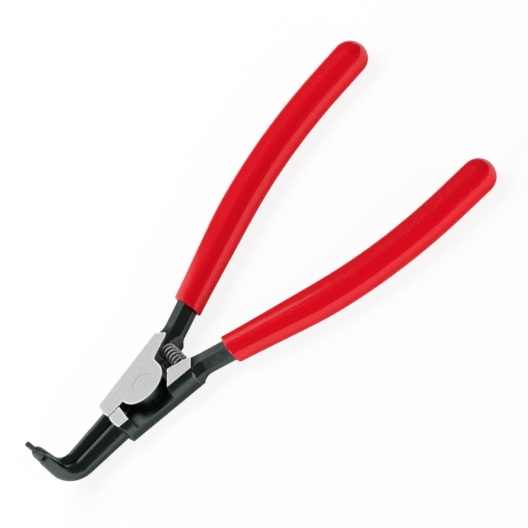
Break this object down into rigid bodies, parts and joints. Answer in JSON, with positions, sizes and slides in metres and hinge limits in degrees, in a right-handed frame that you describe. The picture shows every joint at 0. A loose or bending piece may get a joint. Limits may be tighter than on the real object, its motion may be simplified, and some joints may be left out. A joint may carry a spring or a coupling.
{
  "type": "circlip pliers",
  "caption": "Pliers for outside circlips: two lapped forged levers with round jaws bent up to slim tips, a return spring at the pivot and red sleeve grips; squeezing spreads the tips.",
  "frame": {"origin": "on the pivot's axis, in the ground back face of the head", "axes": "+X from the pivot to the handles along the middle line, +Y to the upper lever, +Z the way the tips point"},
  "size_m": [0.1708, 0.1152, 0.0225],
  "materials": {
    "black_steel": "black oxide, satin, with both faces of the head ground bright",
    "tip_steel": "hardened spring steel, satin",
    "ground_steel": "ground flush",
    "spring_steel": "bare spring wire",
    "red_sleeve": "satin dipped plastic"
  },
  "bodies": {
    "lower": {"lower_lever": "black_steel", "lower_tip_pin": "tip_steel", "lower_grip": "red_sleeve", "pivot_rivet": "ground_steel", "opening_spring": "spring_steel"},
    "upper": {"upper_lever": "black_steel", "upper_tip_pin": "tip_steel", "upper_grip": "red_sleeve"}
  },
  "joints": [
    {"name": "pivot", "type": "hinge", "parent": "lower", "child": "upper", "pos_m": [0, 0, 0.0042], "axis": [0, 0, -1], "range_deg": [0, 36], "stiffness_Nm_per_rad": 0.9, "springref_deg": -17.19, "deforming": ["opening_spring"]}
  ]
}
